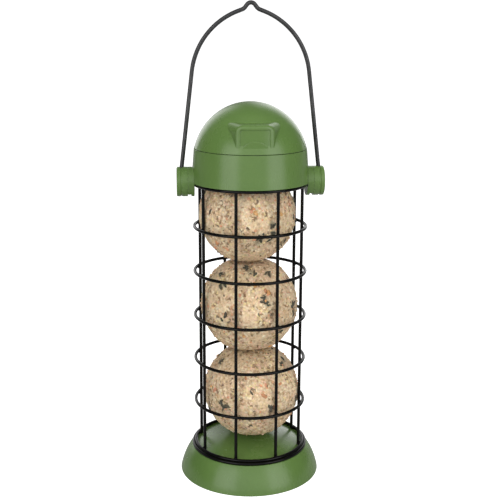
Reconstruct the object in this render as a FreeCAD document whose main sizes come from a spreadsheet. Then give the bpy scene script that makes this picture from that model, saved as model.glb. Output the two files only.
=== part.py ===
import FreeCAD, Part
import math
import os
import Sketcher

# Hanging fat-ball feeder for garden birds.
# Millimetres, +Z up. Origin at the centre of the base's bottom rim.
# +X runs along the pivots of the carrying bail; the lid's thumb grip faces -Y.

SIZES = {
    # welded wire cage
    "cage_wire_radius": 1.0,
    "hoop_radius": 35.2,
    "weld_sink": 0.1,
    "hoop_pitch": 29.0,
    "lowest_hoop_height": 19.2,
    "top_hoop_height": 191.5,
    "foot_ring_radius": 36.75,
    "foot_ring_height": 17.85,
    "upright_bottom": 11.5,
    "upright_top": 201.3,
    "cage_turn": 2.8,
    "socket_slack": 0.05,
    # base tray
    "moulding_wall": 2.0,
    "base_radius": 45.4,
    "shoulder_radius": 37.8,
    "shoulder_height": 16.85,
    "ridge_radius": 35.7,
    "ridge_height": 18.15,
    "floor_radius": 33.4,
    "floor_top": 24.6,
    "skirt_arc_radius": 40.0,
    "floor_arc_radius": 91.0,
    "socket_boss_radius": 2.7,
    "socket_boss_bottom": 10.3,
    # collar
    "collar_bottom": 192.6,
    "collar_top": 213.15,
    "collar_bottom_radius": 36.8,
    "collar_top_radius": 35.2,
    "rib_radius": 32.7,
    "rib_bottom": 194.6,
    "rib_top": 202.4,
    "rib_chamfer": 1.4,
    # bail pivots
    "pivot_height": 192.6,
    "ear_radius": 9.25,
    "hoop_room_radius": 36.35,
    "hoop_room_bottom": 190.0,
    "lug_face": 36.9,
    "boss_face": 39.0,
    "boss_root": 35.0,
    "notch_depth": 1.9,
    "stub_radius": 4.5,
    "stub_end": 44.8,
    "running_gap": 0.05,
    "cap_inner_face": 39.1,
    "cap_outer_face": 46.0,
    "cap_bore_end": 45.1,
    "cap_edge_round": 0.8,
    "cap_groove_place": 43.1,
    "cap_groove_radius": 0.6,
    # lid
    "lid_rim": 213.5,
    "dome_centre": 204.2,
    "dome_radius": 36.06,
    "dome_height": 37.8,
    "lip_radius": 32.7,
    "lip_wall": 1.6,
    "lip_bottom": 211.2,
    "lip_top": 216.2,
    # thumb grip on the lid
    "grip_face_radius": 33.9,
    "grip_half_width": 9.2,
    "grip_half_root": 17.4,
    "grip_front": 36.0,
    "grip_back": 20.0,
    "grip_top_front": 230.5,
    "grip_top_back": 231.5,
    "grip_bottom": 215.0,
    "grip_shoulder_round": 4.4,
    "grip_round": 1.8,
    "recess_half_width": 8.8,
    "recess_depth": 0.55,
    "recess_top": 227.9,
    "recess_corner": 1.2,
    "recess_rim_round": 0.4,
    "scoop_radius": 9.9,
    "scoop_centre": 211.3,
    # lid hinge
    "hinge_setback": 38.4,
    "hinge_height": 213.3,
    "knuckle_radius": 2.6,
    "lid_knuckle_half": 5.0,
    "collar_knuckle_start": 5.3,
    "collar_knuckle_end": 10.5,
    "pin_radius": 1.1,
    "pin_half_length": 11.0,
    "pin_head_radius": 1.8,
    "pin_head_length": 0.9,
    "web_root": 33.1,
    "lid_web_root": 33.6,
    "web_drop": 2.6,
    # bail
    "bail_wire_radius": 1.3,
    "bail_top": 302.0,
    "bail_end_height": 198.2,
    "bail_leg_place": 42.4,
    "bail_leg_height": 204.4,
    "bail_leg_flare": 6.7,
    "bail_shoulder_radius": 43.5,
    "bail_shoulder_slope": 20.8,
    "hook_flank_slope": 53.0,
    "hook_root": 4.22,
    "hook_root_radius": 4.0,
    "hook_top_radius": 3.0,
    # fat balls
    "lower_ball_centre": 54.5,
    "lower_ball_radius": 30.8,
    "lower_ball_half_height": 29.6,
    "lower_ball_shift": 1.2,
    "middle_ball_centre": 113.0,
    "middle_ball_radius": 30.9,
    "middle_ball_half_height": 28.7,
    "middle_ball_shift": -0.4,
    "upper_ball_centre": 171.5,
    "upper_ball_radius": 30.3,
    "upper_ball_half_height": 29.6,
    "upper_ball_shift": -1.8,
}

UPRIGHT_COUNT = 8
PITCHED_HOOPS = 6
UPRIGHT_STEP = 360 / UPRIGHT_COUNT

doc = FreeCAD.newDocument("bird_feeder")
sheet = doc.addObject("Spreadsheet::Sheet", "Sizes")
for row, (alias, number) in enumerate(SIZES.items(), start=1):
    sheet.set(f"A{row}", alias)
    sheet.set(f"B{row}", str(number))
    sheet.setAlias(f"B{row}", alias)
doc.recompute()


class Size:
    """A number together with the spreadsheet expression it comes from."""

    def __init__(self, value, text):
        self.value = value
        self.text = text

    def _join(self, other, sign, value):
        other_text = other.text if isinstance(other, Size) else repr(other)
        return Size(value, f"({self.text} {sign} {other_text})")

    def __add__(self, other):
        return self._join(other, "+", self.value + plain(other))

    def __sub__(self, other):
        return self._join(other, "-", self.value - plain(other))

    def __mul__(self, other):
        return self._join(other, "*", self.value * plain(other))

    def __neg__(self):
        return self * -1


def plain(size):
    return size.value if isinstance(size, Size) else size


def cosine(angle):
    return Size(math.cos(math.radians(angle.value)), f"cos({angle.text})")


def sine(angle):
    return Size(math.sin(math.radians(angle.value)), f"sin({angle.text})")


D = {alias: Size(number, f"Sizes.{alias}") for alias, number in SIZES.items()}
nodes = []


def bind(obj, prop, size):
    if isinstance(size, Size):
        obj.setExpression(prop, size.text)
    else:
        setattr(obj, prop, size)


def place(obj, x=0, y=0, z=0, axis=None, angle=0):
    """Set an object's rotation and tie its position to the sheet."""
    turn = FreeCAD.Rotation(axis, angle) if axis else FreeCAD.Rotation()
    obj.Placement = FreeCAD.Placement(FreeCAD.Vector(plain(x), plain(y), plain(z)), turn)
    for letter, size in zip("xyz", (x, y, z)):
        if isinstance(size, Size):
            obj.setExpression(f".Placement.Base.{letter}", size.text)
    return obj


def cylinder(name, radius, height, **where):
    obj = doc.addObject("Part::Cylinder", name)
    bind(obj, "Radius", radius)
    bind(obj, "Height", height)
    return place(obj, **where)


def cylinder_along_x(name, radius, start, end, y=0, z=0):
    """A cylinder from x = start to x = end."""
    return cylinder(name, radius, end - start, x=start, y=y, z=z, axis=FreeCAD.Vector(0, 1, 0), angle=90)


def torus(name, ring_radius, wire_radius, **where):
    obj = doc.addObject("Part::Torus", name)
    bind(obj, "Radius1", ring_radius)
    bind(obj, "Radius2", wire_radius)
    return place(obj, **where)


def box(name, low, high):
    obj = doc.addObject("Part::Box", name)
    for prop, near, far in zip(("Length", "Width", "Height"), low, high):
        bind(obj, prop, far - near)
    return place(obj, *low)


def ellipsoid(name, radius, half_height, **where):
    obj = doc.addObject("Part::Ellipsoid", name)
    bind(obj, "Radius1", half_height)
    bind(obj, "Radius2", radius)
    bind(obj, "Radius3", radius)
    return place(obj, **where)


def fuse(name, pieces):
    obj = doc.addObject("Part::MultiFuse", name)
    obj.Shapes = pieces
    obj.Refine = True
    return obj


def cut(name, base, tool):
    obj = doc.addObject("Part::Cut", name)
    obj.Base = base
    obj.Tool = tool
    obj.Refine = True
    return obj


def common(name, pieces):
    obj = doc.addObject("Part::MultiCommon", name)
    obj.Shapes = pieces
    return obj


def rounded(name, base, chosen, radius):
    """The base with every edge that chosen() picks rounded to the named radius."""
    doc.recompute()
    fillet = doc.addObject("Part::Fillet", name)
    fillet.Base = base
    fillet.Edges = [
        (i, SIZES[radius], SIZES[radius]) for i, edge in enumerate(base.Shape.Edges, start=1) if chosen(edge)
    ]
    return fillet


def finished(obj, label):
    """Give a finished sub-part its label, which names its file and node."""
    obj.Label = label
    nodes.append(obj)
    return obj


def revolved(name, corners):
    """A PartDesign body turned about Z from a closed (radius, height) outline.

    Each corner is (radius, height) or (radius, height, arc radius); with an arc radius the edge
    that leaves the corner is an arc bulging away from the section's inside (positive) or
    towards it (negative).
    """
    body = doc.addObject("PartDesign::Body", f"{name}_body")
    sketch = body.newObject("Sketcher::SketchObject", f"{name}_section")
    plane = next(f for f in body.Origin.OriginFeatures if f.Role == "XZ_Plane")
    sketch.AttachmentSupport = (plane, [""])
    sketch.MapMode = "FlatFace"
    count = len(corners)
    flat = [FreeCAD.Vector(plain(c[0]), plain(c[1]), 0) for c in corners]
    ends = []
    for i, corner in enumerate(corners):
        start, end = flat[i], flat[(i + 1) % count]
        if len(corner) == 2:
            edge = sketch.addGeometry(Part.LineSegment(start, end), False)
            ends.append((edge, 1, 2))
            continue
        bulge = plain(corner[2])
        chord = end - start
        sagitta = abs(bulge) - math.sqrt(bulge ** 2 - chord.Length ** 2 / 4)
        outward = FreeCAD.Vector(chord.y, -chord.x, 0).normalize()
        middle = (start + end) * 0.5 + outward * math.copysign(sagitta, bulge)
        # a sketch wants its arcs anticlockwise, so one that bulges inwards is drawn from its far end
        if bulge > 0:
            edge = sketch.addGeometry(Part.Arc(start, middle, end), False)
            ends.append((edge, 1, 2))
        else:
            edge = sketch.addGeometry(Part.Arc(end, middle, start), False)
            ends.append((edge, 2, 1))
        radius = sketch.addConstraint(Sketcher.Constraint("Radius", edge, abs(bulge)))
        if isinstance(corner[2], Size):
            sign = "" if bulge > 0 else "-1 * "
            sketch.setExpression(f"Constraints[{radius}]", sign + corner[2].text)
    for i, corner in enumerate(corners):
        edge, first, last = ends[i]
        following, next_first, _ = ends[(i + 1) % count]
        sketch.addConstraint(Sketcher.Constraint("Coincident", edge, last, following, next_first))
    for i, corner in enumerate(corners):
        edge, first, _ = ends[i]
        for kind, size, axis in (("DistanceX", corner[0], -2), ("DistanceY", corner[1], -1)):
            if plain(size) == 0:
                sketch.addConstraint(Sketcher.Constraint("PointOnObject", edge, first, axis))
                continue
            held = sketch.addConstraint(Sketcher.Constraint(kind, -1, 1, edge, first, plain(size)))
            if isinstance(size, Size):
                sketch.setExpression(f"Constraints[{held}]", size.text)
    turned = body.newObject("PartDesign::Revolution", f"{name}_turned")
    turned.Profile = sketch
    turned.ReferenceAxis = (sketch, ["V_Axis"])
    turned.Angle = 360
    return body


# ---- wire cage ----

upright_circle = D["hoop_radius"] - D["cage_wire_radius"] * 2 + D["weld_sink"]


def upright_place(i):
    """Centre of upright i, counted round from the +X side."""
    angle = D["cage_turn"] + UPRIGHT_STEP * (i + 0.5)
    return upright_circle * cosine(angle), upright_circle * sine(angle)


def build_cage():
    foot = torus("foot_ring", D["foot_ring_radius"], D["cage_wire_radius"], z=D["foot_ring_height"])
    finished(foot, "cage_foot_ring")
    heights = [D["lowest_hoop_height"] + D["hoop_pitch"] * i for i in range(PITCHED_HOOPS)]
    heights.append(D["top_hoop_height"])
    for i, height in enumerate(heights, start=1):
        finished(torus(f"hoop_{i}", D["hoop_radius"], D["cage_wire_radius"], z=height), f"cage_hoop_{i}")
    length = D["upright_top"] - D["upright_bottom"]
    for i in range(UPRIGHT_COUNT):
        x, y = upright_place(i)
        wire = cylinder(f"upright_{i + 1}", D["cage_wire_radius"], length, x=x, y=y, z=D["upright_bottom"])
        finished(wire, f"cage_upright_{i + 1}")


def upright_bores(name, bottom, top):
    """Eight bores that take the ends of the uprights."""
    radius = D["cage_wire_radius"] + D["socket_slack"]
    bores = []
    for i in range(UPRIGHT_COUNT):
        x, y = upright_place(i)
        bores.append(cylinder(f"{name}_bore_{i + 1}", radius, top - bottom, x=x, y=y, z=bottom))
    return fuse(f"{name}_bores", bores)


# ---- base tray ----

def build_base():
    wall = D["moulding_wall"]
    outline = [
        (D["base_radius"], 0, D["skirt_arc_radius"]),
        (D["shoulder_radius"], D["shoulder_height"]),
        (D["ridge_radius"], D["shoulder_height"]),
        (D["ridge_radius"], D["ridge_height"]),
        (D["floor_radius"], D["ridge_height"], D["floor_arc_radius"]),
        (0, D["floor_top"]),
        (0, D["floor_top"] - wall, -D["floor_arc_radius"]),
        (D["floor_radius"], D["ridge_height"] - wall),
        (D["shoulder_radius"] - wall * 0.8, D["shoulder_height"] - wall, -D["skirt_arc_radius"]),
        (D["base_radius"] - wall, 0),
    ]
    tray = revolved("tray", outline)
    bosses = []
    for i in range(UPRIGHT_COUNT):
        x, y = upright_place(i)
        height = D["shoulder_height"] - D["socket_boss_bottom"]
        bosses.append(
            cylinder(
                f"socket_boss_{i + 1}", D["socket_boss_radius"], height, x=x, y=y, z=D["socket_boss_bottom"]
            )
        )
    bores = upright_bores("tray", D["upright_bottom"] - 0.1, D["floor_top"])
    finished(cut("tray", fuse("tray_with_bosses", [tray] + bosses), bores), "base_tray")


# ---- collar ----

def build_collar():
    wall = D["moulding_wall"]
    rise = D["collar_top"] - D["collar_bottom"]
    slope = (SIZES["collar_bottom_radius"] - SIZES["collar_top_radius"]) / rise.value

    def inner_radius(height):
        return D["collar_bottom_radius"] - wall - (height - D["collar_bottom"]) * slope

    chamfer_top = D["rib_top"] + D["rib_chamfer"]
    outline = [
        (D["collar_bottom_radius"], D["collar_bottom"]),
        (D["collar_top_radius"], D["collar_top"]),
        (D["collar_top_radius"] - wall, D["collar_top"]),
        (inner_radius(chamfer_top), chamfer_top),
        (D["rib_radius"], D["rib_top"]),
        (D["rib_radius"], D["rib_bottom"]),
        (inner_radius(D["rib_bottom"]), D["rib_bottom"]),
        (D["collar_bottom_radius"] - wall, D["collar_bottom"]),
    ]
    band = revolved("band", outline)
    added = [band]
    removed = [upright_bores("collar", D["collar_bottom"] - 1, D["upright_top"] + 0.1)]
    for side, name in ((-1, "left"), (1, "right")):
        added.append(ear_boss(side, name))
        added.append(stub_axle(side, name))
        added.append(outer_knuckle(side, name))
    bore_half = D["collar_knuckle_end"] + 1
    removed.append(
        cylinder_along_x(
            "pin_hole", D["pin_radius"], -bore_half, bore_half, D["hinge_setback"], D["hinge_height"]
        )
    )
    finished(cut("collar_cut", fuse("collar_added", added), fuse("collar_removed", removed)), "collar")


def span_along_x(name, side, radius, near, far, **where):
    """A cylinder between two distances from the middle, on one side of the feeder."""
    if side < 0:
        return cylinder_along_x(name, radius, -far, -near, **where)
    return cylinder_along_x(name, radius, near, far, **where)


def span_box(name, side, near, far, low, high):
    """A box between two distances from the middle, on one side of the feeder."""
    start, end = (near, far) if side > 0 else (-far, -near)
    return box(name, (start, *low), (end, *high))


def ear_boss(side, name):
    """The round boss that carries a pivot, relieved for the top hoop, with a drain notch below."""
    pivot = D["pivot_height"]
    boss = span_along_x(f"boss_{name}", side, D["ear_radius"], D["boss_root"], D["boss_face"], z=pivot)
    room_bottom = D["hoop_room_bottom"]
    room_height = D["collar_bottom"] - room_bottom
    hoop_room = cylinder(f"hoop_room_{name}", D["hoop_room_radius"], room_height, z=room_bottom)
    notch_top = pivot - D["ear_radius"] + D["notch_depth"]
    reach = D["ear_radius"]
    notch = span_box(
        f"notch_{name}", side, D["lug_face"], D["boss_face"] + 1,
        (-reach, pivot - reach - 1), (reach, notch_top),
    )
    return cut(f"ear_{name}", boss, fuse(f"ear_{name}_removed", [hoop_room, notch]))


def stub_axle(side, name):
    return span_along_x(
        f"stub_{name}", side, D["stub_radius"], D["boss_face"] - 1, D["stub_end"], z=D["pivot_height"]
    )


def outer_knuckle(side, name):
    """A hinge knuckle on its web, at one side of the lid's own knuckle."""
    near, far = D["collar_knuckle_start"], D["collar_knuckle_end"]
    barrel = span_along_x(
        f"knuckle_{name}", side, D["knuckle_radius"], near, far, y=D["hinge_setback"], z=D["hinge_height"]
    )
    low = (D["web_root"], D["hinge_height"] - D["web_drop"])
    high = (D["hinge_setback"], D["collar_top"])
    return fuse(f"outer_knuckle_{name}", [barrel, span_box(f"web_{name}", side, near, far, low, high)])


# ---- lid ----

def grip_pad():
    """The raised thumb grip: flared sides, a sloping top and a face that follows the lid."""
    wedge = doc.addObject("Part::Wedge", "grip_wedge")
    limits = {
        "Xmin": -D["grip_half_width"], "Xmax": D["grip_half_width"],
        "X2min": -D["grip_half_root"], "X2max": D["grip_half_root"],
        "Ymin": -D["grip_front"], "Ymax": -D["grip_back"],
        "Zmin": D["grip_bottom"], "Zmax": D["grip_top_front"],
        "Z2min": D["grip_bottom"], "Z2max": D["grip_top_back"],
    }
    for prop, size in limits.items():
        bind(wedge, prop, size)
    drum_height = D["grip_top_back"] - D["grip_bottom"]
    drum = cylinder("grip_drum", D["grip_face_radius"], drum_height, z=D["grip_bottom"])
    wedge = rounded("grip_wedge_rounded", wedge, is_shoulder, "grip_shoulder_round")
    block = common("grip_block", [wedge, drum])
    return rounded("grip_rounded", block, is_face_border, "grip_round")


def is_shoulder(edge):
    """True for the two long edges where the grip's top turns down into its sides."""
    points = [edge.valueAt(edge.FirstParameter), edge.valueAt(edge.LastParameter)]
    return abs(points[0].y - points[1].y) > 10 and min(p.z for p in points) > SIZES["grip_bottom"] + 1


def is_face_border(edge):
    """True for the top and side edges round the grip's face."""
    points = [edge.valueAt(edge.FirstParameter), edge.valueAt(edge.LastParameter)]
    on_face = all(abs(math.hypot(p.x, p.y) - SIZES["grip_face_radius"]) < 0.01 for p in points)
    return on_face and max(p.z for p in points) > SIZES["grip_bottom"] + 1


def is_recess_corner(edge):
    points = [edge.valueAt(edge.FirstParameter), edge.valueAt(edge.LastParameter)]
    return abs(points[0].y - points[1].y) > 10 and min(p.z for p in points) > SIZES["grip_bottom"] + 1


def is_recess_rim(edge):
    """True for the edges where the recess breaks through the grip's face."""
    middle = edge.valueAt((edge.FirstParameter + edge.LastParameter) / 2)
    points = [edge.valueAt(edge.FirstParameter), middle, edge.valueAt(edge.LastParameter)]
    on_face = all(abs(math.hypot(p.x, p.y) - SIZES["grip_face_radius"]) < 0.01 for p in points)
    reach = SIZES["recess_half_width"] + 0.01
    return on_face and all(abs(p.x) < reach and p.z > SIZES["grip_bottom"] + 0.5 for p in points)


def grip_recess():
    """A shallow recess in the grip's face, interrupted from below by a half-round thumb rest."""
    half = D["recess_half_width"]
    low = (-half, -D["grip_front"], D["grip_bottom"] - 1)
    window = box("recess_box", low, (half, -D["grip_back"], D["recess_top"]))
    window = rounded("recess_window", window, is_recess_corner, "recess_corner")
    depth_drum = cylinder(
        "recess_drum", D["grip_face_radius"] - D["recess_depth"], D["grip_top_back"], z=0
    )
    thumb_rest = cylinder(
        "thumb_rest", D["scoop_radius"], D["grip_front"], z=D["scoop_centre"],
        axis=FreeCAD.Vector(1, 0, 0), angle=90,
    )
    return cut("recess", window, fuse("recess_kept", [depth_drum, thumb_rest]))


def build_lid():
    wall = D["moulding_wall"]
    outside = ellipsoid("dome_outside", D["dome_radius"], D["dome_height"], z=D["dome_centre"])
    inside = ellipsoid("dome_inside", D["dome_radius"] - wall, D["dome_height"] - wall, z=D["dome_centre"])
    grip = rounded("grip", cut("grip_recessed", grip_pad(), grip_recess()), is_recess_rim, "recess_rim_round")
    with_grip = fuse("dome_with_grip", [outside, grip])
    below = cylinder("below_rim", D["dome_radius"] + 5, D["lid_rim"] - 150, z=150)
    shell = cut("dome_shell", with_grip, fuse("dome_removed", [inside, below]))
    lip_height = D["lip_top"] - D["lip_bottom"]
    lip = cut(
        "lip",
        cylinder("lip_outside", D["lip_radius"], lip_height, z=D["lip_bottom"]),
        cylinder("lip_inside", D["lip_radius"] - D["lip_wall"], lip_height, z=D["lip_bottom"]),
    )
    half = D["lid_knuckle_half"]
    setback, height = D["hinge_setback"], D["hinge_height"]
    barrel = cylinder_along_x("lid_barrel", D["knuckle_radius"], -half, half, setback, height)
    web_top = height + D["knuckle_radius"]
    web = box("lid_web", (-half, D["lid_web_root"], D["lid_rim"]), (half, setback, web_top))
    bore_half = half + 1
    bore = cylinder_along_x(
        "lid_bore", D["pin_radius"] + D["running_gap"], -bore_half, bore_half, setback, height
    )
    finished(cut("lid", fuse("lid_whole", [shell, lip, barrel, web]), bore), "lid_dome")


def build_hinge_pin():
    setback, height = D["hinge_setback"], D["hinge_height"]
    half = D["pin_half_length"]
    shank = cylinder_along_x("pin_shank", D["pin_radius"], -half, half, setback, height)
    head_start = D["collar_knuckle_end"]
    head = cylinder_along_x(
        "pin_head", D["pin_head_radius"], head_start, head_start + D["pin_head_length"], setback, height
    )
    finished(fuse("hinge_pin", [shank, head]), "lid_hinge_pin")


# ---- bail and its pivot caps ----

def rounded_path(corners):
    """A wire through (x, z) corners in the XZ plane, each corner rounded with its own radius."""
    points = [FreeCAD.Vector(x, 0, z) for x, z, _ in corners]
    edges = []
    last = points[0]
    for i in range(1, len(corners) - 1):
        radius = corners[i][2]
        back = (points[i - 1] - points[i]).normalize()
        ahead = (points[i + 1] - points[i]).normalize()
        half_angle = back.getAngle(ahead) / 2
        run = radius / math.tan(half_angle)
        start, end = points[i] + back * run, points[i] + ahead * run
        centre = points[i] + (back + ahead).normalize() * (radius / math.sin(half_angle))
        middle = centre + (points[i] - centre).normalize() * radius
        edges.append(Part.LineSegment(last, start).toShape())
        edges.append(Part.Arc(start, middle, end).toShape())
        last = end
    edges.append(Part.LineSegment(last, points[-1]).toShape())
    return Part.Wire(edges)


def leg_distance(height):
    """How far a straight leg of the bail stands from the middle at a height."""
    flare = math.tan(math.radians(SIZES["bail_leg_flare"]))
    return SIZES["bail_leg_place"] - flare * (height - SIZES["bail_leg_height"])


def bail_corners():
    """Corners of the right half of the bail, from its end in the pivot cap to the hook seat."""
    flank = math.tan(math.radians(SIZES["hook_flank_slope"]))
    shoulder = math.tan(math.radians(SIZES["bail_shoulder_slope"]))
    flare = math.tan(math.radians(SIZES["bail_leg_flare"]))
    overshoot = SIZES["hook_top_radius"] * (1 / math.cos(math.radians(SIZES["hook_flank_slope"])) - 1)
    apex = SIZES["bail_top"] - SIZES["bail_wire_radius"] + overshoot
    root_x = SIZES["hook_root"]
    root_z = apex - flank * root_x
    # the leg line and the shoulder line cross at the shoulder corner
    leg_zero = leg_distance(0)
    shoulder_z = (root_z + shoulder * (root_x - leg_zero)) / (1 - shoulder * flare)
    end_z = SIZES["bail_end_height"]
    return [
        (leg_distance(end_z), end_z, 0),
        (leg_distance(shoulder_z), shoulder_z, SIZES["bail_shoulder_radius"]),
        (root_x, root_z, SIZES["hook_root_radius"]),
        (0, apex, SIZES["hook_top_radius"]),
    ]


def build_bail():
    right = bail_corners()
    left = [(-x, z, radius) for x, z, radius in reversed(right[:-1])]
    path = doc.addObject("Part::Feature", "bail_path")
    path.Shape = rounded_path(right + left)
    section = doc.addObject("Part::Circle", "bail_section")
    bind(section, "Radius", D["bail_wire_radius"])
    end_x, end_z, _ = right[0]
    lean = FreeCAD.Rotation(FreeCAD.Vector(0, 1, 0), -SIZES["bail_leg_flare"])
    section.Placement = FreeCAD.Placement(FreeCAD.Vector(end_x, 0, end_z), lean)
    wire = doc.addObject("Part::Sweep", "bail_sweep")
    wire.Sections = [section]
    wire.Spine = (path, [f"Edge{i + 1}" for i in range(len(path.Shape.Edges))])
    wire.Solid = True
    wire.Frenet = False
    finished(wire, "bail_wire")


def build_pivot_caps():
    pivot = D["pivot_height"]
    for side, name in ((-1, "left"), (1, "right")):
        drum = span_along_x(
            f"cap_drum_{name}", side, D["ear_radius"], D["cap_inner_face"], D["cap_outer_face"], z=pivot
        )
        outer_x = side * SIZES["cap_outer_face"]
        body = rounded(
            f"cap_rounded_{name}", drum,
            lambda edge: edge.Closed and abs(edge.CenterOfMass.x - outer_x) < 0.01, "cap_edge_round",
        )
        bore = span_along_x(
            f"cap_bore_{name}", side, D["stub_radius"] + D["running_gap"],
            D["cap_inner_face"] - 1, D["cap_bore_end"], z=pivot,
        )
        groove = torus(
            f"cap_groove_{name}", D["ear_radius"] + 0.15, D["cap_groove_radius"],
            x=D["cap_groove_place"] * side, z=pivot, axis=FreeCAD.Vector(0, 1, 0), angle=90,
        )
        end_z = SIZES["bail_end_height"]
        wire_hole = cylinder(
            f"cap_wire_hole_{name}", D["bail_wire_radius"], D["ear_radius"],
            x=side * leg_distance(end_z), z=end_z,
            axis=FreeCAD.Vector(0, 1, 0), angle=-side * SIZES["bail_leg_flare"],
        )
        removed = fuse(f"cap_removed_{name}", [bore, groove, wire_hole])
        finished(cut(f"cap_{name}", body, removed), f"pivot_cap_{name}")


# ---- fat balls ----

def build_fat_balls():
    for name in ("lower", "middle", "upper"):
        ball = ellipsoid(
            f"ball_{name}", D[f"{name}_ball_radius"], D[f"{name}_ball_half_height"],
            x=D[f"{name}_ball_shift"], z=D[f"{name}_ball_centre"],
        )
        finished(ball, f"fat_ball_{name}")


def check(objects):
    """Stop if any feature failed or a sub-part isn't one valid solid."""
    for obj in objects:
        if "Invalid" in obj.State or "Error" in obj.State:
            raise RuntimeError(f"{obj.Name} failed to compute: {obj.State}")
    for node in nodes:
        shape = node.Shape
        if shape.isNull() or not shape.isValid() or len(shape.Solids) != 1:
            raise RuntimeError(f"{node.Label} is not one valid solid")


build_base()
build_cage()
build_collar()
build_lid()
build_hinge_pin()
build_bail()
build_pivot_caps()
build_fat_balls()
doc.recompute()
check(doc.Objects)

os.makedirs("parts", exist_ok=True)
for node in nodes:
    node.Shape.exportStep(f"parts/{node.Label}.step")
    box_of = node.Shape.BoundBox
    print(f"{node.Label}: volume {node.Shape.Volume:.1f}, z {box_of.ZMin:.2f} to {box_of.ZMax:.2f}")
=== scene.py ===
import math

import bmesh
import bpy
import numpy as np
from mathutils import Matrix, Vector, noise
from mathutils.kdtree import KDTree


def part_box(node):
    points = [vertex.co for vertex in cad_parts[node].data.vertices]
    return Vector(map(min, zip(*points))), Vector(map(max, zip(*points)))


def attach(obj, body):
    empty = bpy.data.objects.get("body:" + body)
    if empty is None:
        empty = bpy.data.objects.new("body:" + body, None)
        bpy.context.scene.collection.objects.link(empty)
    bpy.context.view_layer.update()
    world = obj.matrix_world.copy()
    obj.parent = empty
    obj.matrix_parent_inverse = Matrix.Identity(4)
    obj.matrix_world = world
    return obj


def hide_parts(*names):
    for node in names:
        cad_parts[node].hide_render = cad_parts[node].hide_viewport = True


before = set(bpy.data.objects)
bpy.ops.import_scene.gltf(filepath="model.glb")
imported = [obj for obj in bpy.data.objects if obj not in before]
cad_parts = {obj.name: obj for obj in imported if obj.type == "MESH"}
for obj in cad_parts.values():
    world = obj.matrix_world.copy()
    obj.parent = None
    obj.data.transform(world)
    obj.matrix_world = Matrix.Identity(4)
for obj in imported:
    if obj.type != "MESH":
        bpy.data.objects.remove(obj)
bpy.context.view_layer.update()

MM = 0.001
FULL_TURN = 2 * math.pi
UP = Vector((0, 0, 1))

# The camera stands in front of the feeder, a little to its left, and looks slightly down. Its lens and
# sensor are in millimetres, and its roll in radians.
CAMERA_PLACE = Vector((-0.0513, -0.5862, 0.290))
CAMERA_TURN = math.radians(5)
CAMERA_PITCH = math.radians(13.56)
CAMERA_ROLL = 0.004
CAMERA_LENS = 68.44
CAMERA_SENSOR = 36
CAMERA_NEAR = 0.01

# The studio around the feeder: two bright panels behind it with a dimmer gap between them, a wide fill
# on the camera's side, and a faint top. Each pair is where a light starts and where it is full, as the
# part of the direction along one axis.
WORLD_FRONT = 0.06
WORLD_BACK = 2.0
WORLD_FILL = 1.15
WORLD_TOP = 0.2
WORLD_SEEN = 1.1
BACK_ALONG_Y = (0.6, 0.9)
PANEL_ALONG_X = (0.05, 0.24)
PANEL_GAP = 0.15
FILL_ALONG_Y = (-0.35, -0.85)
TOP_ALONG_Z = (0.2, 0.95)
FLOOR_GLOW = 0.75
FLOOR_BOUNCE = 0.08
FLOOR_REACH = 6
FLOOR_DROP = 0.2 * MM
LIGHTS_AIM = Vector((0, 0, 0.14))

# Each fat ball: its body and CAD node, then (turn, rise, how many) for the clumps of seed husks that
# face the camera and (turn, rise) for the corn bits, in degrees. Turn 0 faces the camera, and rise 0
# is the ball's equator.
FAT_BALLS = {
    "fat_ball_lower": {
        "husks": [(-66, 46, 3), (-4, 16, 1), (24, -6, 4), (-31, -5, 3), (-38, -1, 2), (61, 41, 2),
                  (49, 29, 1), (-3, -29, 1), (-70, -20, 2), (72, -5, 2)],
        "corn": [(18, 10), (15, 12), (-8, 33), (40, 22), (-50, 12)],
    },
    "fat_ball_middle": {
        "husks": [(-42, 34, 3), (-8, 62, 3), (4, 56, 3), (37, 50, 3), (-53, 46, 2), (19, 21, 4), (21, 15, 3),
                  (-30, -2, 1), (-34, -8, 1), (10, 1, 1), (65, 6, 2), (66, -4, 2), (43, -21, 3)],
        "corn": [(26, 27), (22, 30), (-12, 25), (8, 38), (-60, -14)],
    },
    "fat_ball_upper": {
        "husks": [(17, -18, 3), (30, -2, 3), (33, -16, 4), (13, -23, 2), (-84, 4, 2), (-52, 12, 1),
                  (62, 30, 1), (58, -28, 2)],
        "corn": [(8, 17), (5, 14), (10, 12), (-45, -29), (44, 8)],
    },
}

# The balls' outline. BALL_ROOM is how far from the feeder's axis a ball's bits may reach, so that they
# clear the cage and the collar. BALL_NOISE is how far through the noise each ball lies from the last.
BALL_CELLS = 124
BALL_ROOM = 32.2 * MM
BALL_NOISE = (3.7, 1.9, 5.3)
OUTLINE_INSET = 0.35 * MM
LUMP_SCALE = 1.6
LUMP_MM = 0.7
DENT_SCALE = 5.5
DENT_MM = 0.25
FLAT_INSET = 0.1 * MM
FLAT_BLEND = 1.2 * MM
FLAT_STARTS = -3
RELIEF_FADE = 1.5 * MM
RELIEF_LEAST = 0.25

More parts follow.
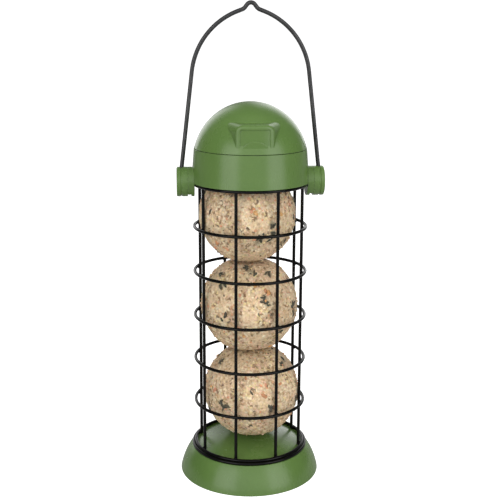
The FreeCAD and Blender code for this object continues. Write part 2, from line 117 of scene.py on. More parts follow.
# The crust's grains, the pits they leave, the fat smeared over them, the stains round the husks, and the
# painted shade in the seams between grains, in the pits and where the balls touch.
# GRAIN_BIAS gives some grains more room than others, as a share of the spacing. A stain is full where
# STAIN_CORE less the angle over STAIN_DEGREES is 1, and gone where that is 0.
GRAIN_SPACING = 1.32 * MM
GRAIN_JITTER = 0.45
GRAIN_TINTS = (0.8, 1.12)
GRAIN_BIAS = 0.35
GRAIN_LIFT_MM = 0.04
GRAIN_UNEVEN_MM = 0.13
GRAIN_HEIGHT = 0.34 * MM
GRAIN_SHOULDER = 0.32 * MM
GRAIN_NEIGHBOURS = 4
# Painted shade in the seams between grains: each grain's colour is darkened at its seam and comes back to
# full over the seam's width.
SEAM_WIDTH = 0.24 * MM
SEAM_PAINTED_SHADE = 0.66
SEAM_GAIN = 0.34
CRUMBLY_SCALE = 3.1
CRUMBLY_SHADE = 0.35
# The top of each ball, where the next ball sits on it: more pits there, and painted shade, the grains
# darkened as the shadow between the balls.
CONTACT_HEIGHT = 0.7
CONTACT_FADE = 0.22
CONTACT_PAINTED_SHADE = 0.22
PIT_CHANCE = 0.02
PIT_CHANCE_CRUMBLY = 0.28
PIT_CHANCE_CONTACT = 0.06
PIT_DEPTH = 0.8 * MM
SMEAR_SCALE = 2.7
SMEAR_GAIN = 2.0
SMEAR_START = 0.1
SMEAR_MOST = 0.6
SMEAR_HEIGHT = 0.2 * MM
STAIN_DEGREES = 4.8
STAIN_CORE = 1.3
STAIN_MOST = 0.7

# The bits pressed into the crust. sizes is their length, sink how far out their middle stands as a share
# of their half thickness, flat how thick they are, rough how lumpy, and tilt how far they lean.
# BIT_WIDTHS and BIT_THICKNESSES are shares of the length.
CRUMBS = {"sizes": (0.9 * MM, 1.8 * MM), "sink": 0.15, "flat": 1.0, "rough": 0.45, "tilt": 0.5}
FLAKES = {"sizes": (1.8 * MM, 3.2 * MM), "sink": 0.4, "flat": 0.24, "rough": 0.3, "tilt": 0.16}
CORN = {"sizes": (2.4 * MM, 3.8 * MM), "sink": 0.05, "flat": 0.6, "rough": 0.35, "tilt": 0.3}
CRUMBS_PER_BALL = 420
CRUMB_JITTER = 0.8
FLAKES_PER_BALL = 150
FLAKE_JITTER = 0.9
HIDDEN_CORN = 10
CORN_JITTER = 0.6
BIT_ROUNDNESS = 2
BIT_LUMPS = 1.6
BIT_WIDTHS = (0.6, 0.95)
BIT_THICKNESSES = (0.8, 1.2)
BIT_TINTS = (0.85, 1.1)
NOISE_FIELD = 50

# The seeds' husks, in clumps, and the small splinters of other husks. HUSK_WIDTHS and HUSK_DEPTHS are
# half sizes, as shares of the length.
HUSK_ROWS = 13
HUSK_COLUMNS = 9
HUSK_BLUNTNESS = 0.62
HUSK_TAPER = 0.3
HUSK_UNDERSIDE = 0.45
HUSK_SAG = 0.1
HUSK_LENGTHS = (2.4 * MM, 5.2 * MM)
HUSK_HALF = 0.5
HUSK_WIDTHS = (0.15, 0.28)
HUSK_DEPTHS = (0.12, 0.18)
HUSK_TILT = 0.22
HUSK_LIFT_MM = 0.3
HUSK_BOW = 0.5
HUSK_BOWS = (-1, 0.6)
HUSK_CURVE = 0.3
HUSK_STRIPES = (8, 11)
HUSK_STRIPE_SHIFT = 6
HUSK_PALENESS = (0.2, 0.8)
SPLINTER_LENGTHS = (1.0 * MM, 2.0 * MM)
SPLINTERS_PER_BALL = 14
SPLINTER_JITTER = 0.9
CLUMP_SPREAD = math.radians(2.1)
HIDDEN_CLUMPS = 9
CLUMP_JITTER = 0.5
HIDDEN_CLUMP_SIZES = (1, 4)
HIDDEN_SIDE = 0.3

# The cage's welds, in wire radii: a nugget at each crossing, and a butt weld that closes each hoop.
WELD_SEED = 77
WELD_ROUNDNESS = 3
WELD_WIDTHS = (1.3, 1.5)
WELD_HEIGHT = 0.72
WELD_ROUGH = 0.22
WELD_LUMPS = 1.4
BUTT_TURN = 78
BUTT_WANDER = 4
BUTT_SIZE = np.array([1.5, 1.2, 1.2])
BUTT_ROUGH = 0.12
BUTT_LUMPS = 2.0


# ---------------------------------------------------------------- colours

def linear(red, green, blue):
    """A linear colour from its familiar 0 to 255 values, by the standard curve."""
    values = [value / 255 for value in (red, green, blue)]
    return [v / 12.92 if v <= 0.04045 else ((v + 0.055) / 1.055) ** 2.4 for v in values] + [1.0]


def linear_rgb(red, green, blue):
    """The same colour as three numbers, for painting a mesh."""
    return np.array(linear(red, green, blue)[:3])


# The layer of a mesh that carries each grain's colour, with the painted shade of the seams, the pits and the
# balls' contact.
COLOUR_LAYER = "grain"

GREEN = linear(84, 113, 55)
GREEN_CLOUD = linear(91, 120, 60)
GREEN_SPECKLE = linear(104, 134, 76)
GREEN_RUBBED = linear(136, 162, 112)
COAT_BLACK = linear(4, 4, 4)
COAT_WARM = linear(9, 8, 6)
COAT_DUST = linear(62, 56, 44)
COAT_WELD = linear_rgb(24, 24, 24)
BAIL_DARK = linear(50, 50, 51)
BAIL_CLOUD = linear(66, 66, 67)
BAIL_LINES = linear(98, 98, 98)
ZINC_BRIGHT = linear(196, 197, 198)
ZINC_DULL = linear(158, 160, 163)
FAT_PINKISH = linear(222, 182, 158)
FAT_YELLOWISH = linear(212, 200, 152)
FLOUR = linear(240, 224, 196)
# Painted shade for the crevices between grains.
CREVICE_PAINTED_SHADE = linear(150, 116, 84)
FLOOR_WHITE = linear(250, 250, 250)
FLOOR_MOTTLE = linear(247, 247, 247)
FLOOR_UNSEEN = linear(186, 186, 186)
WHITE = (1, 1, 1, 1)

# Each kind of grain: its share of the crust and its colour.
GRAIN_COLOURS = [
    (0.26, linear(248, 228, 192)),
    (0.21, linear(236, 206, 166)),
    (0.16, linear(222, 188, 146)),
    (0.13, linear(238, 198, 168)),
    (0.09, linear(240, 218, 158)),
    (0.08, linear(196, 156, 112)),
    (0.035, linear(150, 108, 70)),
    (0.015, linear(226, 150, 108)),
    (0.02, linear(86, 60, 40)),
]
CRUMB_COLOURS = [colour for _, colour in GRAIN_COLOURS]
FLAKE_COLOURS = [linear(238, 222, 188), linear(232, 208, 160), linear(222, 196, 156), linear(206, 190, 150)]
CORN_COLOURS = [linear(222, 158, 88), linear(226, 170, 104), linear(206, 138, 92), linear(214, 146, 112)]
SMEAR_COLOUR = linear_rgb(222, 194, 158)
STAIN_COLOUR = linear_rgb(78, 80, 60)
HUSK_DARK = linear_rgb(34, 38, 32)
HUSK_PALES = [linear_rgb(126, 130, 112), linear_rgb(78, 100, 82), linear_rgb(140, 128, 104)]
SPLINTER_DARK = linear_rgb(74, 50, 34)
# Painted shade in the pits: their grains' colour darkened to a deep brown.
PIT_PAINTED_SHADE = np.array([0.42, 0.34, 0.26])


# ---------------------------------------------------------------- node trees

class Nodes:
    """A node tree, with one short call for each kind of node."""

    def __init__(self, tree):
        self.tree = tree

    def add(self, kind, inputs=None, **settings):
        """A new node, its inputs fed with values or with other nodes' outputs."""
        node = self.tree.nodes.new(kind)
        for name, value in settings.items():
            setattr(node, name, value)
        for socket, value in (inputs or {}).items():
            self.feed(node.inputs[socket], value)
        return node

    def feed(self, socket, value):
        if isinstance(value, bpy.types.NodeSocket):
            self.tree.links.new(value, socket)
        else:
            socket.default_value = value

    def spread(self, value, low=0.35, high=0.65, to_low=0.0, to_high=1.0):
        """The value's range low to high, spread over to_low to to_high."""
        inputs = {"Value": value, "From Min": low, "From Max": high, "To Min": to_low, "To Max": to_high}
        return self.add("ShaderNodeMapRange", inputs).outputs[0]

    def math(self, operation, first, second=0.0):
        return self.add("ShaderNodeMath", {0: first, 1: second}, operation=operation).outputs[0]

    def mix(self, factor, first, second, blend="MIX"):
        """The first colour, passing into the second as factor goes from 0 to 1."""
        node = self.add("ShaderNodeMix", data_type="RGBA", blend_type=blend)
        sockets = {socket.identifier: socket for socket in node.inputs}
        self.feed(sockets["Factor_Float"], factor)
        self.feed(sockets["A_Color"], first)
        self.feed(sockets["B_Color"], second)
        return next(socket for socket in node.outputs if socket.identifier == "Result_Color")

    def seen(self):
        """1 where the camera looks straight at it, and 0 for the light that it gives."""
        return self.add("ShaderNodeLightPath").outputs["Is Camera Ray"]


class Shader(Nodes):
    """A material of that name, its patterns laid out in the object's own metres."""

    SOCKETS = {
        "colour": "Base Color",
        "roughness": "Roughness",
        "metallic": "Metallic",
        "normal": "Normal",
        "specular": "Specular IOR Level",
        "subsurface": "Subsurface Weight",
        "subsurface_scale": "Subsurface Scale",
        "subsurface_radius": "Subsurface Radius",
        "glow_colour": "Emission Color",
        "glow": "Emission Strength",
    }

    def __init__(self, name):
        self.material = bpy.data.materials.new(name)
        self.material.use_nodes = True
        super().__init__(self.material.node_tree)
        self.surface = self.tree.nodes["Principled BSDF"]
        self.place = self.add("ShaderNodeTexCoord").outputs["Object"]

    def noise(self, scale, detail, roughness=0.5, stretch=None):
        """Smooth noise, drawn out along the axes where stretch is small."""
        vector = self.place
        if stretch:
            vector = self.add("ShaderNodeMapping", {"Vector": vector, "Scale": stretch}).outputs[0]
        inputs = {"Vector": vector, "Scale": scale, "Detail": detail, "Roughness": roughness}
        return self.add("ShaderNodeTexNoise", inputs).outputs["Fac"]

    def cells(self, scale):
        """How far each place is from the nearest of many scattered points."""
        return self.add("ShaderNodeTexVoronoi", {"Vector": self.place, "Scale": scale}).outputs["Distance"]

    def roughness(self, pattern, smooth, rough):
        """A roughness that the pattern takes from smooth to rough."""
        return self.spread(pattern, low=0.3, high=0.7, to_low=smooth, to_high=rough)

    def bump(self, height, distance, strength, normal=None):
        inputs = {"Height": height, "Distance": distance, "Strength": strength}
        if normal is not None:
            inputs["Normal"] = normal
        return self.add("ShaderNodeBump", inputs).outputs[0]

    def edges(self, radius):
        """1 along the sharp edges of the piece and 0 away from them, with the rounded normal."""
        rounded = self.add("ShaderNodeBevel", {"Radius": radius}, samples=6).outputs[0]
        normal = self.add("ShaderNodeNewGeometry").outputs["Normal"]
        likeness = self.add("ShaderNodeVectorMath", {0: rounded, 1: normal}, operation="DOT_PRODUCT")
        return self.spread(likeness.outputs["Value"], low=0.985, high=0.86), rounded

    def finish(self, **inputs):
        """Feeds the surface's sockets, by their names in SOCKETS, and gives the material."""
        for name, value in inputs.items():
            self.feed(self.surface.inputs[self.SOCKETS[name]], value)
        return self.material


# ---------------------------------------------------------------- materials

EDGE_RADIUS = 0.35 * MM
BLOOM_MOST = 0.14
FLOUR_MOST = 0.34
FAT_ROUGHER = 0.2


def green_plastic():
    """Moulded polypropylene: a satin green with a faint cloudiness and paler, rubbed edges."""
    shader = Shader("green_plastic")
    rubbed, rounded = shader.edges(EDGE_RADIUS)
    cloud = shader.noise(scale=28, detail=4)
    speckle = shader.noise(scale=900, detail=2)
    scuffs = shader.noise(scale=70, detail=5, roughness=0.7, stretch=(1, 1, 0.16))
    patches = shader.noise(scale=160, detail=4)
    grain = shader.noise(scale=2600, detail=2, roughness=0.6)
    sinks = shader.noise(scale=45, detail=1)
    colour = shader.mix(shader.spread(cloud), GREEN, GREEN_CLOUD)
    colour = shader.mix(shader.spread(speckle, low=0.4, high=0.7, to_high=0.12), colour, GREEN_SPECKLE)
    wear = shader.spread(patches, low=0.35, high=0.7, to_low=0.15, to_high=0.6)
    colour = shader.mix(shader.math("MULTIPLY", rubbed, wear), colour, GREEN_RUBBED)
    relief = shader.bump(grain, distance=0.022 * MM, strength=0.6, normal=rounded)
    relief = shader.bump(sinks, distance=0.25 * MM, strength=0.35, normal=relief)
    return shader.finish(colour=colour, roughness=shader.roughness(scuffs, smooth=0.22, rough=0.3),
                         normal=relief, specular=0.45)


def black_coated_wire():
    """Steel wire in a glossy black powder coat, with its orange-peel skin and a little dust."""
    shader = Shader("black_coated_wire")
    peel = shader.noise(scale=1300, detail=2, roughness=0.4)
    cloud = shader.noise(scale=120, detail=3)
    dust = shader.noise(scale=420, detail=4, roughness=0.7)
    colour = shader.mix(shader.spread(cloud), COAT_BLACK, COAT_WARM)
    colour = shader.mix(shader.spread(dust, low=0.6, high=0.8, to_high=0.08), colour, COAT_DUST)
    relief = shader.bump(peel, distance=0.04 * MM, strength=0.4)
    return shader.finish(colour=colour, roughness=shader.roughness(cloud, smooth=0.1, rough=0.18),
                         normal=relief, specular=0.17)


def bail_wire():
    """Drawn steel wire with a dark grey satin coat, its draw lines running along the legs."""
    shader = Shader("bail_wire")
    lines = shader.noise(scale=1800, detail=3, roughness=0.6, stretch=(1, 1, 0.03))
    cloud = shader.noise(scale=60, detail=3)
    colour = shader.mix(shader.spread(cloud), BAIL_DARK, BAIL_CLOUD)
    colour = shader.mix(shader.spread(lines, low=0.45, high=0.7, to_high=0.3), colour, BAIL_LINES)
    relief = shader.bump(lines, distance=0.03 * MM, strength=0.5)
    return shader.finish(colour=colour, roughness=shader.roughness(lines, smooth=0.26, rough=0.38),
                         normal=relief, metallic=0.6)


def hinge_steel():
    """Bright zinc-plated pin with fine turning marks."""
    shader = Shader("hinge_steel")
    marks = shader.noise(scale=2500, detail=3, roughness=0.6, stretch=(4, 0.2, 0.2))
    patches = shader.noise(scale=300, detail=3)
    colour = shader.mix(shader.spread(patches, high=0.7), ZINC_BRIGHT, ZINC_DULL)
    relief = shader.bump(marks, distance=0.02 * MM, strength=0.4)
    return shader.finish(colour=colour, roughness=shader.roughness(marks, smooth=0.22, rough=0.4),
                         normal=relief, metallic=1.0)


def fat_and_seed(name, smooth, greased):
    """Seed and crumbly fat: each grain's colour and painted shade, carried on the mesh, under a greasy
    bloom, with painted shade in the crevices between small cells.
    """
    shader = Shader(name)
    grain_colour = shader.add("ShaderNodeAttribute", attribute_name=COLOUR_LAYER).outputs["Color"]
    region = shader.noise(scale=70, detail=3)
    powder = shader.noise(scale=1500, detail=4, roughness=0.65)
    crumbs = shader.noise(scale=2400, detail=4, roughness=0.7)
    bloom = shader.mix(shader.spread(region), FAT_PINKISH, FAT_YELLOWISH)
    colour = shader.mix(BLOOM_MOST * greased, grain_colour, bloom)
    flour = shader.spread(powder, low=0.42, high=0.72, to_high=FLOUR_MOST * greased)
    colour = shader.mix(flour, colour, FLOUR)
    # Painted shade: darker brown towards the edges of small cells, as shade in the crevices between grains.
    crevice_shade = shader.spread(shader.cells(scale=620), low=0.42, high=0.75, to_high=0.2)
    colour = shader.mix(crevice_shade, colour, CREVICE_PAINTED_SHADE, "MULTIPLY")
    relief = shader.bump(crumbs, distance=0.18 * MM, strength=0.7)
    return shader.finish(colour=colour, roughness=shader.roughness(crumbs, smooth, smooth + FAT_ROUGHER),
                         normal=relief, specular=0.35, subsurface=0.12, subsurface_scale=1.0 * MM,
                         subsurface_radius=(1.0, 0.55, 0.3))


def floor_material():
    """A white floor that glows to the camera and gives less light back to the feeder."""
    shader = Shader("studio_floor")
    mottle = shader.noise(scale=3, detail=2)
    seen = shader.seen()
    colour = shader.mix(shader.spread(mottle, low=0.3, high=0.7), FLOOR_WHITE, FLOOR_MOTTLE)
    colour = shader.mix(seen, FLOOR_UNSEEN, colour)
    glow = shader.spread(seen, low=0, high=1, to_low=FLOOR_BOUNCE, to_high=FLOOR_GLOW)
    return shader.finish(colour=colour, roughness=0.9, specular=0.1, glow_colour=WHITE, glow=glow)


# ---------------------------------------------------------------- small solids

def mesh_object(name, mesh, material, body):
    """A smooth-shaded piece of the feeder that rides on a body."""
    for polygon in mesh.polygons:
        polygon.use_smooth = True
    mesh.materials.append(material)
    piece = bpy.data.objects.new(name, mesh)
    bpy.context.scene.collection.objects.link(piece)
    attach(piece, body)
    return piece


def paint(mesh, colours):
    """Stores one linear colour for each vertex of the mesh."""
    layer = mesh.color_attributes.new(COLOUR_LAYER, "FLOAT_COLOR", "POINT")
    rgba = np.ones((len(mesh.vertices), 4), np.float32)
    rgba[:, :3] = colours
    layer.data.foreach_set("color", rgba.ravel())


class Heap:
    """Many small closed solids gathered into one mesh, each vertex with its own colour."""

    def __init__(self):
        self.points = []
        self.faces = []
        self.colours = []
        self.count = 0

    def add(self, points, faces, colours):
        self.points.append(points)
        self.faces.extend([[i + self.count for i in face] for face in faces])
        self.colours.append(np.broadcast_to(colours, points.shape))
        self.count += len(points)

    def keep_within(self, reach):
        """Presses back every point that stands further than reach from the feeder's axis."""
        for points in self.points:
            far = np.hypot(points[:, 0], points[:, 1])
            points[:, :2] *= np.minimum(1, reach / far)[:, None]

    def build(self, name, material, body):
        mesh = bpy.data.meshes.new(name)
        mesh.from_pydata(np.concatenate(self.points).tolist(), [], self.faces)
        mesh.update()
        paint(mesh, np.concatenate(self.colours))
        mesh_object(name, mesh, material, body)


def round_form(roundness):
    """A unit icosphere as points and faces."""
    form = bmesh.new()
    bmesh.ops.create_icosphere(form, subdivisions=roundness, radius=1)
    points = np.array([vertex.co for vertex in form.verts])
    faces = [[vertex.index for vertex in face.verts] for face in form.faces]
    form.free()
    return points, faces


def lumpy(points, amount, frequency, rng):
    """The unit points pushed in and out by smooth noise, from a random part of the noise."""
    offset = Vector(rng.uniform(-NOISE_FIELD, NOISE_FIELD, 3))
    pushes = [noise.noise(Vector(point) * frequency + offset) for point in points]
    return points * (1 + amount * np.array(pushes))[:, None]


def turned(points, size, axes, place):
    """The unit points scaled to size, turned to the three axes, and moved to place."""
    return (points * size) @ np.array(axes) + place


def husk_form():
    """A seed husk's half shell, pointed at one end: points, faces and how far across each point is."""
    along = np.cos(np.linspace(0, math.pi, HUSK_ROWS))[1:-1]
    across = np.linspace(-1, 1, HUSK_COLUMNS)
    points = []
    shares = []
    for thickness in (1.0, HUSK_UNDERSIDE):
        for u in along:
            width = (1 - u * u) ** HUSK_BLUNTNESS * (1 - HUSK_TAPER * u)
            for v in across:
                crown = (1 - v * v) * (1 - u * u) ** 0.5
                points.append((u, v * width, crown * thickness - HUSK_SAG * v * v))
                shares.append(v)
    tips = [len(points), len(points) + 1]
    points += [(1, 0, 0), (-1, 0, 0)]
    shares += [0, 0]
    faces = []
    rows = len(along)
    columns = HUSK_COLUMNS
    layer = rows * columns
    for side in range(2):
        start = side * layer
        for i in range(rows - 1):
            for j in range(columns - 1):
                corner = start + i * columns + j
                quad = [corner, corner + 1, corner + columns + 1, corner + columns]
                faces.append(quad if side else quad[::-1])
        for j in range(columns - 1):
            first = start + j
            last = first + (rows - 1) * columns
            faces.append([tips[0], first + 1, first] if side else [tips[0], first, first + 1])
            faces.append([tips[1], last, last + 1] if side else [tips[1], last + 1, last])
    for j in (0, columns - 1):
        edge = [i * columns + j for i in range(rows)]
        rim = [tips[0]] + edge + [tips[1]]
        under = [tips[0]] + [i + layer for i in edge] + [tips[1]]
        for i in range(len(rim) - 1):
            corners = list(dict.fromkeys([rim[i], rim[i + 1], under[i + 1], under[i]]))
            faces.append(corners if j == 0 else corners[::-1])
    return np.array(points, float), faces, np.array(shares)


# ---------------------------------------------------------------- the fat balls

def facing(turn, rise):
    """The unit direction at turn degrees right of the camera and rise degrees up."""
    angle = math.radians(turn - 90) - CAMERA_TURN
    rise = math.radians(rise)
    return Vector((math.cos(angle) * math.cos(rise), math.sin(angle) * math.cos(rise), math.sin(rise)))


def spiral_directions(count, jitter, rng):
    """Directions spread evenly over a sphere, each moved a little at random."""
    step = np.arange(count) + 0.5
    z = 1 - 2 * step / count
    golden = 3 - math.sqrt(5)
    angle = step * math.pi * golden
    flat = np.sqrt(1 - z * z)
    points = np.stack([flat * np.cos(angle), flat * np.sin(angle), z], axis=1)
    points += rng.normal(0, jitter * math.sqrt(4 * math.pi / count), points.shape)
    return points / np.linalg.norm(points, axis=1)[:, None]


class BallShape:
    """The pressed ball's outline: a sphere with soft flats where it sits on its neighbours."""

    def __init__(self, node, seed):
        low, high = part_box(node)
        self.centre = (low + high) / 2
        self.radius = (high.x - low.x) / 2
        self.half_height = (high.z - low.z) / 2
        self.offset = Vector([seed * step for step in BALL_NOISE])

    def outline(self, direction):
        """A point of the surface before its grains, for one unit direction."""
        lumps = noise.noise(direction * LUMP_SCALE + self.offset) * LUMP_MM
        lumps += noise.noise(direction * DENT_SCALE - self.offset) * DENT_MM
        point = direction * (self.radius - OUTLINE_INSET + lumps * MM)
        flat = self.half_height - FLAT_INSET
        over = (abs(point.z) - flat) / FLAT_BLEND
        if over > FLAT_STARTS:
            limited = flat - FLAT_BLEND * math.log1p(math.exp(-over))
            point.z = math.copysign(limited, point.z)
        return point

    def frame_at(self, direction, spin, tilt):
        """Three axes at a place on the surface: two along it, turned by spin and tilt, and one out."""
        side = Matrix.Rotation(spin, 3, direction) @ direction.orthogonal().normalized()
        out = Matrix.Rotation(tilt, 3, side) @ direction
        return side, out.cross(side), out


def grain_relief(directions, shape, stains, rng):
    """How far each direction's point stands out, and its colour from the grains around it, with painted
    shade in the seams, the pits and where the balls touch.
    """
    count = int(4 * math.pi * shape.radius ** 2 / GRAIN_SPACING ** 2)
    centres = spiral_directions(count, GRAIN_JITTER, rng)
    kinds = rng.choice(len(GRAIN_COLOURS), count, p=[share for share, _ in GRAIN_COLOURS])
    colours = np.array([colour[:3] for _, colour in GRAIN_COLOURS])[kinds]
    colours = colours * rng.uniform(*GRAIN_TINTS, (count, 1))
    bias = rng.uniform(0, GRAIN_BIAS, count) * GRAIN_SPACING
    lift = rng.normal(GRAIN_LIFT_MM, GRAIN_UNEVEN_MM, count) * MM
    crumbly = [noise.noise(Vector(centre) * CRUMBLY_SCALE - shape.offset) for centre in centres]
    crumbly = np.clip(crumbly, 0, 1)
    contact = np.clip((centres[:, 2] - CONTACT_HEIGHT) / CONTACT_FADE, 0, 1)
    pit_chance = PIT_CHANCE + PIT_CHANCE_CRUMBLY * crumbly + PIT_CHANCE_CONTACT * contact
    pits = rng.random(count) < pit_chance
    lift[pits] = -PIT_DEPTH
    # The pits sink into the crust, and their colour is darkened as painted shade in the hollows.
    colours[pits] *= PIT_PAINTED_SHADE
    # Crumbly patches are darker; the tops where the balls touch are darkened further as painted shade.
    colours *= (1 - CRUMBLY_SHADE * crumbly - CONTACT_PAINTED_SHADE * contact)[:, None]
    tree = KDTree(count)
    for grain, centre in enumerate(centres * shape.radius):
        tree.insert(centre, grain)
    tree.balance()
    heights = np.empty(len(directions))
    shades = np.empty((len(directions), 3))
    for row, direction in enumerate(directions):
        near = tree.find_n(Vector(direction) * shape.radius, GRAIN_NEIGHBOURS)
        nearest, second = sorted((distance - bias[grain], grain) for _, grain, distance in near)[:2]
        gap = second[0] - nearest[0]
        grain = nearest[1]
        dome = 1 - math.exp(-gap / GRAIN_SHOULDER)
        smear = noise.noise(Vector(direction) * SMEAR_SCALE + shape.offset) * SMEAR_GAIN + SMEAR_START
        smear = 0 if pits[grain] else SMEAR_MOST * min(1, max(0, smear))
        heights[row] = (lift[grain] + GRAIN_HEIGHT * dome) * (1 - smear) + SMEAR_HEIGHT * smear
        # Painted shade: the grain's colour darkened along its seam with the next grain.
        shade = colours[grain] * (SEAM_PAINTED_SHADE + SEAM_GAIN * min(1, gap / SEAM_WIDTH))
        shades[row] = shade * (1 - smear) + SMEAR_COLOUR * smear
    apart = np.degrees(np.arccos(np.clip((directions @ stains.T).max(axis=1), -1, 1)))
    stain = STAIN_MOST * np.clip(STAIN_CORE - apart / STAIN_DEGREES, 0, 1)[:, None]
    return heights, shades * (1 - stain) + STAIN_COLOUR * stain


def ball_core(node, shape, stains, material, rng):
    """The ball itself, every grain of its crust raised from the mesh."""
    form = bmesh.new()
    bmesh.ops.create_cube(form, size=2)
    bmesh.ops.subdivide_edges(form, edges=form.edges[:], cuts=BALL_CELLS - 1, use_grid_fill=True)
    mesh = bpy.data.meshes.new(node + "_crust")
    form.to_mesh(mesh)
    form.free()
    cube = np.empty(len(mesh.vertices) * 3, np.float32)
    mesh.vertices.foreach_get("co", cube)
    directions = np.tan(cube.reshape(-1, 3) * math.pi / 4)
    directions /= np.linalg.norm(directions, axis=1)[:, None]
    heights, shades = grain_relief(directions, shape, stains, rng)
    points = np.array([shape.outline(Vector(direction)) for direction in directions])
    flatness = np.clip((shape.half_height - np.abs(points[:, 2])) / RELIEF_FADE, RELIEF_LEAST, 1)
    points += directions * (heights * flatness)[:, None] + np.array(shape.centre)
    mesh.vertices.foreach_set("co", points.astype(np.float32).ravel())
    mesh.update()
    paint(mesh, shades)
    piece = mesh_object(node + "_crust", mesh, material, node)
    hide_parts(node)


def scatter_bits(heap, shape, directions, kind, colours, rng):
    """Crumbs, flakes or corn bits pressed into the ball at the given directions."""
    points, faces = round_form(BIT_ROUNDNESS)
    for direction in directions:
        direction = Vector(direction)
        spin = rng.uniform(0, FULL_TURN)
        lean = rng.normal(0, kind["tilt"])
        axes = shape.frame_at(direction, spin, lean)
        length = rng.uniform(*kind["sizes"])
        width = rng.uniform(*BIT_WIDTHS)
        thickness = kind["flat"] * rng.uniform(*BIT_THICKNESSES)
        size = length / 2 * np.array([1, width, thickness])
        form = lumpy(points, kind["rough"], BIT_LUMPS, rng)
        place = np.array(shape.centre + shape.outline(direction) + direction * (kind["sink"] * size[2]))
        colour = np.array(colours[rng.integers(len(colours))][:3]) * rng.uniform(*BIT_TINTS)
        heap.add(turned(form, size, axes, place), faces, colour)


def scatter_husks(heap, shape, directions, lengths, dark, rng):
    """Striped seed husks, split and pressed at odd angles into the ball."""
    points, faces, shares = husk_form()
    for direction in directions:
        direction = Vector(direction)
        axes = shape.frame_at(direction, rng.uniform(0, FULL_TURN), rng.normal(0, HUSK_TILT))
        length = rng.uniform(*lengths)
        size = np.array([HUSK_HALF, rng.uniform(*HUSK_WIDTHS), rng.uniform(*HUSK_DEPTHS)]) * length
        form = points.copy()
        form[:, 2] += HUSK_BOW * rng.uniform(*HUSK_BOWS) * form[:, 0] ** 2
        form[:, 1] += HUSK_CURVE * rng.uniform(-1, 1) * form[:, 0] ** 2
        lift = direction * rng.uniform(0, HUSK_LIFT_MM) * MM
        place = np.array(shape.centre + shape.outline(direction) + lift)
        stripes = 0.5 + 0.5 * np.sin(shares * rng.uniform(*HUSK_STRIPES) + rng.uniform(0, HUSK_STRIPE_SHIFT))
        paleness = (stripes ** 2 * rng.uniform(*HUSK_PALENESS))[:, None]
        colours = dark * (1 - paleness) + HUSK_PALES[rng.integers(len(HUSK_PALES))] * paleness
        heap.add(turned(form, size, axes, place), faces, colours)


def build_fat_ball(node, spots, seed, materials):
    """One fat ball: its crust, crumbs, corn bits and husks, which all ride on its own body."""
    rng = np.random.default_rng(seed)
    shape = BallShape(node, seed)
    clumps = [(facing(turn, rise), many) for turn, rise, many in spots["husks"]]
    clumps += [(Vector(d), rng.integers(*HIDDEN_CLUMP_SIZES))
               for d in spiral_directions(2 * HIDDEN_CLUMPS, CLUMP_JITTER, rng)
               if Vector(d).dot(facing(0, 0)) < HIDDEN_SIDE]
    stains = np.array([place for place, many in clumps if many > 1])
    ball_core(node, shape, stains, materials["crust"], rng)

    crumbs = Heap()
    directions = spiral_directions(CRUMBS_PER_BALL, CRUMB_JITTER, rng)
    scatter_bits(crumbs, shape, directions, CRUMBS, CRUMB_COLOURS, rng)
    directions = spiral_directions(FLAKES_PER_BALL, FLAKE_JITTER, rng)
    scatter_bits(crumbs, shape, directions, FLAKES, FLAKE_COLOURS, rng)
    crumbs.keep_within(BALL_ROOM)
    crumbs.build(node + "_crumbs", materials["crust"], node)

    corn = Heap()
    directions = [facing(*spot) for spot in spots["corn"]]
    directions += [Vector(d) for d in spiral_directions(HIDDEN_CORN, CORN_JITTER, rng)]
    scatter_bits(corn, shape, directions, CORN, CORN_COLOURS, rng)
    corn.keep_within(BALL_ROOM)
    corn.build(node + "_corn", materials["corn"], node)

    husks = Heap()
    directions = [(place + Vector(rng.normal(0, CLUMP_SPREAD, 3))).normalized()
                  for place, many in clumps for _ in range(many if many == 1 else many + 1)]
    scatter_husks(husks, shape, directions, HUSK_LENGTHS, HUSK_DARK, rng)
    directions = spiral_directions(SPLINTERS_PER_BALL, SPLINTER_JITTER, rng)
    scatter_husks(husks, shape, directions, SPLINTER_LENGTHS, SPLINTER_DARK, rng)
    husks.keep_within(BALL_ROOM)
    husks.build(node + "_husks", materials["husk"], node)


# ---------------------------------------------------------------- the cage's welds

def nodes_named(start):
    return sorted(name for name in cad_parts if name.startswith(start))


def middle(node):
    low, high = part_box(node)
    return (low + high) / 2


def build_welds(material):
    """A small nugget where each upright is spot-welded to each hoop, and each hoop's butt weld."""
    rng = np.random.default_rng(WELD_SEED)
    points, faces = round_form(WELD_ROUNDNESS)
    welds = Heap()
    hoops = nodes_named("cage_hoop")
    low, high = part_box(hoops[0])
    wire = (high.z - low.z) / 2
    hoop_radius = (high.x - low.x) / 2 - wire

    def weld(out, radius, height, size, rough, lumps):
        form = lumpy(points, rough, lumps, rng)
        place = out * radius + Vector((0, 0, height))
        welds.add(turned(form, size, (UP.cross(out), UP, out), np.array(place)), faces, COAT_WELD)

    for hoop in hoops:
        height = middle(hoop).z
        for upright in nodes_named("cage_upright"):
            centre = middle(upright)
            out = Vector((centre.x, centre.y, 0)).normalized()
            size = wire * np.array([rng.uniform(*WELD_WIDTHS), rng.uniform(*WELD_WIDTHS), WELD_HEIGHT])
            weld(out, hoop_radius - wire, height, size, WELD_ROUGH, WELD_LUMPS)
        angle = math.radians(BUTT_TURN + rng.uniform(-BUTT_WANDER, BUTT_WANDER))
        out = Vector((math.cos(angle), math.sin(angle), 0))
        weld(out, hoop_radius, height, wire * BUTT_SIZE, BUTT_ROUGH, BUTT_LUMPS)
    welds.build("cage_welds", material, "feeder_body")


# ---------------------------------------------------------------- studio

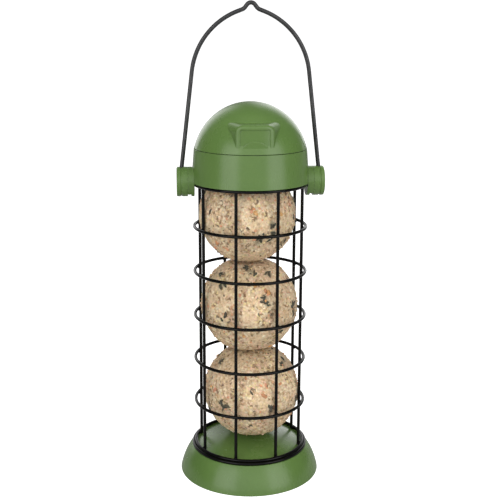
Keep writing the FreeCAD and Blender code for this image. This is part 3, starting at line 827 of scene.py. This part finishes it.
def build_floor():
    mesh = bpy.data.meshes.new("studio_floor")
    corners = [(-1, -1), (1, -1), (1, 1), (-1, 1)]
    mesh.from_pydata([(x * FLOOR_REACH, y * FLOOR_REACH, 0) for x, y in corners], [], [(0, 1, 2, 3)])
    mesh.materials.append(floor_material())
    floor = bpy.data.objects.new("studio_floor", mesh)
    floor.location.z = -FLOOR_DROP
    bpy.context.scene.collection.objects.link(floor)


def build_world():
    """A white studio: even white to the camera, and to the feeder two panels, a fill and a soft top."""
    world = bpy.data.worlds.new("studio")
    world.use_nodes = True
    bpy.context.scene.world = world
    sky = Nodes(world.node_tree)
    direction = sky.add("ShaderNodeTexCoord").outputs["Generated"]
    part = sky.add("ShaderNodeSeparateXYZ", {0: direction}).outputs
    back = sky.spread(part["Y"], *BACK_ALONG_Y, WORLD_FRONT, WORLD_BACK)
    panels = sky.spread(sky.math("ABSOLUTE", part["X"]), *PANEL_ALONG_X, PANEL_GAP, 1.0)
    fill = sky.spread(part["Y"], *FILL_ALONG_Y, 0.0, WORLD_FILL)
    top = sky.spread(part["Z"], *TOP_ALONG_Z, 0.0, WORLD_TOP)
    around = sky.math("ADD", sky.math("MULTIPLY", back, panels), fill)
    light = sky.math("ADD", around, top)
    strength = sky.add("ShaderNodeMix", {"Factor": sky.seen(), "A": light, "B": WORLD_SEEN})
    background = sky.tree.nodes["Background"]
    sky.feed(background.inputs["Color"], WHITE)
    sky.feed(background.inputs["Strength"], strength.outputs["Result"])


def softbox(name, turn, height, distance, width, tall, power, mirrored=True):
    """An area light at turn degrees right of the camera, aimed at the feeder's middle."""
    light = bpy.data.lights.new(name, "AREA")
    light.shape = "RECTANGLE"
    light.size = width
    light.size_y = tall
    light.energy = power
    lamp = bpy.data.objects.new(name, light)
    lamp.visible_glossy = mirrored
    lamp.location = facing(turn, 0) * distance + Vector((0, 0, height))
    lamp.rotation_euler = (LIGHTS_AIM - lamp.location).to_track_quat("-Z", "Y").to_euler()
    bpy.context.scene.collection.objects.link(lamp)


def build_lights():
    softbox("softbox_left", turn=-41, height=0.36, distance=1.1, width=0.72, tall=1.1, power=4.95)
    softbox("softbox_right", turn=52, height=0.36, distance=1.1, width=0.70, tall=1.1, power=5.0)
    softbox("overhead", turn=0, height=1.3, distance=0.3, width=0.9, tall=0.9, power=5.8, mirrored=False)


def build_camera():
    data = bpy.data.cameras.new("camera")
    data.lens = CAMERA_LENS
    data.sensor_width = CAMERA_SENSOR
    data.clip_start = CAMERA_NEAR
    camera = bpy.data.objects.new("camera", data)
    camera.location = CAMERA_PLACE
    ahead = Vector((math.sin(CAMERA_TURN) * math.cos(CAMERA_PITCH),
                    math.cos(CAMERA_TURN) * math.cos(CAMERA_PITCH),
                    -math.sin(CAMERA_PITCH)))
    level = ahead.to_track_quat("-Z", "Y").to_matrix().to_4x4()
    camera.rotation_euler = (level @ Matrix.Rotation(CAMERA_ROLL, 4, "Z")).to_euler()
    bpy.context.scene.collection.objects.link(camera)
    bpy.context.scene.camera = camera
    bpy.context.scene.view_settings.view_transform = "Standard"


# ---------------------------------------------------------------- the feeder

def slot_of_node(name):
    if name.startswith("cage_"):
        return "black_coated_wire"
    if name.startswith("fat_ball"):
        return "fat_and_seed"
    return {"bail_wire": "bail_wire", "lid_hinge_pin": "hinge_steel"}.get(name, "green_plastic")


def finish_cad_nodes(finishes):
    """Gives each CAD node the material of its slot."""
    for name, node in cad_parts.items():
        node.data.materials.clear()
        node.data.materials.append(finishes[slot_of_node(name)])


build_camera()
build_floor()
build_world()
build_lights()

crust = fat_and_seed("fat_crust", smooth=0.55, greased=1.0)
finishes = {
    "green_plastic": green_plastic(),
    "black_coated_wire": black_coated_wire(),
    "bail_wire": bail_wire(),
    "hinge_steel": hinge_steel(),
    "fat_and_seed": crust,
}
finish_cad_nodes(finishes)
build_welds(finishes["black_coated_wire"])
ball_materials = {
    "crust": crust,
    "corn": fat_and_seed("corn_bits", smooth=0.4, greased=0.6),
    "husk": fat_and_seed("seed_husks", smooth=0.42, greased=0.22),
}
for seed, (node, spots) in enumerate(FAT_BALLS.items(), start=1):
    build_fat_ball(node, spots, seed, ball_materials)
